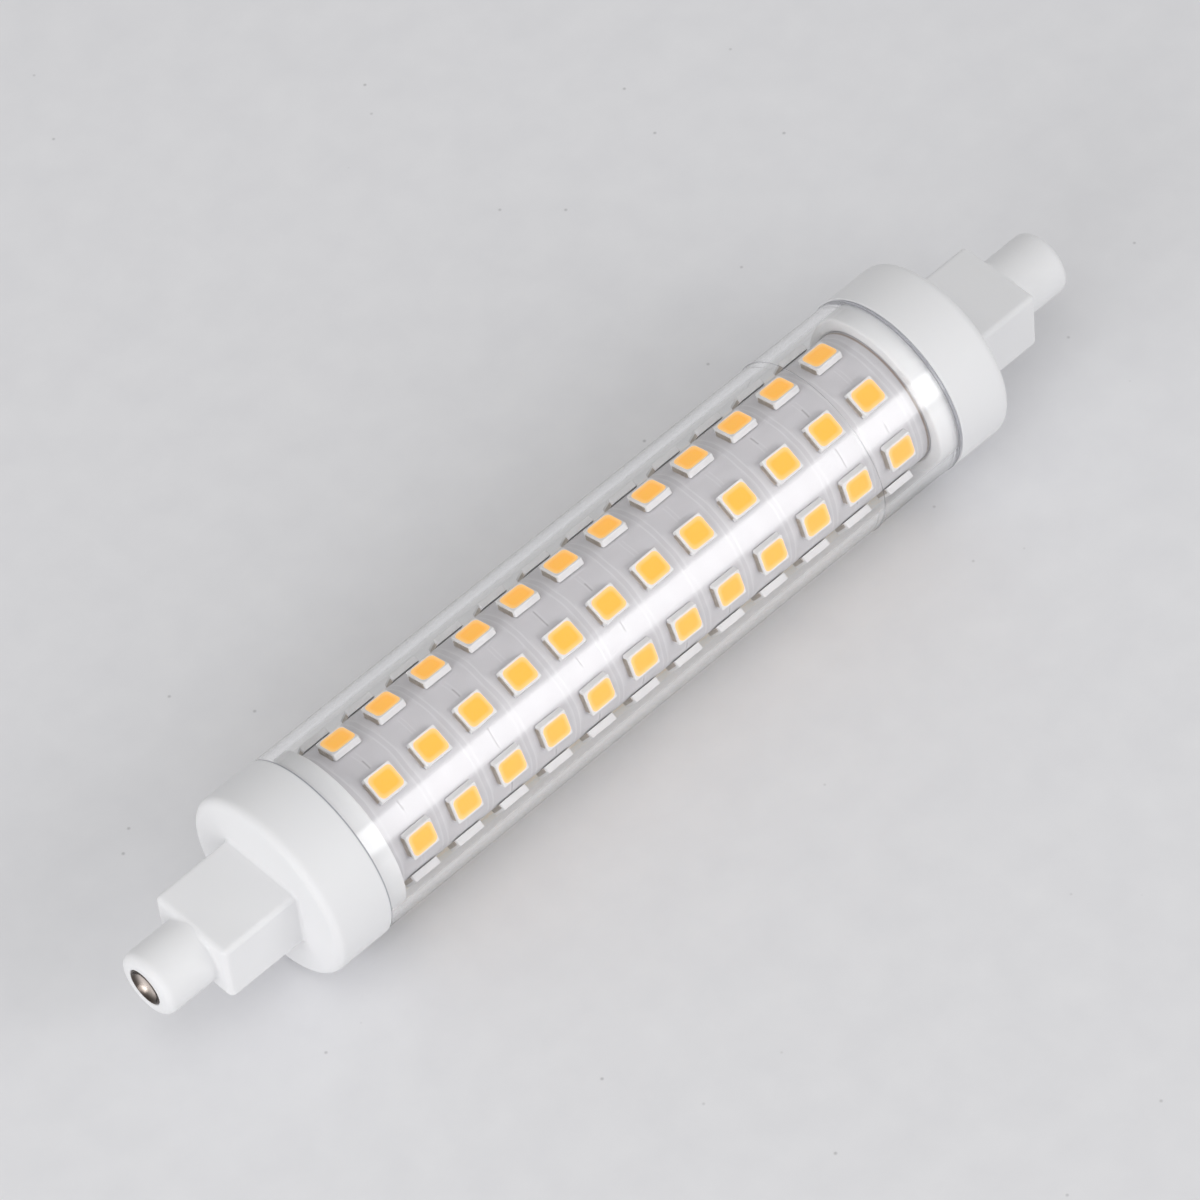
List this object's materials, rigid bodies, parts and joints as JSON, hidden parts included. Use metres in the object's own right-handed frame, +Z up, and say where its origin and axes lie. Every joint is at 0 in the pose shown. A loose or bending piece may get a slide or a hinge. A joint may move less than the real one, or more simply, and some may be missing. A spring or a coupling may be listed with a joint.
{
  "type": "linear led bulb",
  "caption": "Double-ended linear LED lamp: a clear tube over a rolled board of LEDs in rows, between white end caps with recessed contacts.",
  "frame": {"origin": "the middle of the lamp, on its axis", "axes": "+X along the lamp towards the right end cap, +Z up, square to the wide faces of the shoulders"},
  "size_m": [0.118, 0.02, 0.02],
  "materials": {
    "end_cap": "fine matt moulded white",
    "clear_tube": "clear and glossy",
    "contact": "nickel plate",
    "led_board": "pale grey solder mask",
    "led_package": "white moulded package",
    "led_window": "amber phosphor in clear silicone",
    "driver_board": "green solder mask",
    "chip_body": "black moulding",
    "can": "bare can",
    "fuse_body": "lacquered",
    "insulation": "silicone",
    "copper": "tinned wire"
  },
  "bodies": {
    "root": {"clear_tube": "clear_tube", "led_board": "led_board", "driver_board": "driver_board", "smoothing_capacitor": "can", "bridge_rectifier": "chip_body", "driver_chip": "chip_body", "fuse": "fuse_body", "chip_resistors": "chip_body", "board_links": "copper", "left_end_cap": "end_cap", "left_contact": "contact", "left_lead": "insulation", "right_end_cap": "end_cap", "right_contact": "contact", "right_lead": "insulation", "led_packages_1": "led_package", "led_windows_1": "led_window", "led_packages_2": "led_package", "led_windows_2": "led_window", "led_packages_3": "led_package", "led_windows_3": "led_window", "led_packages_4": "led_package", "led_windows_4": "led_window", "led_packages_5": "led_package", "led_windows_5": "led_window", "led_packages_6": "led_package", "led_windows_6": "led_window", "led_packages_7": "led_package", "led_windows_7": "led_window", "led_packages_8": "led_package", "led_windows_8": "led_window"}
  },
  "joints": []
}
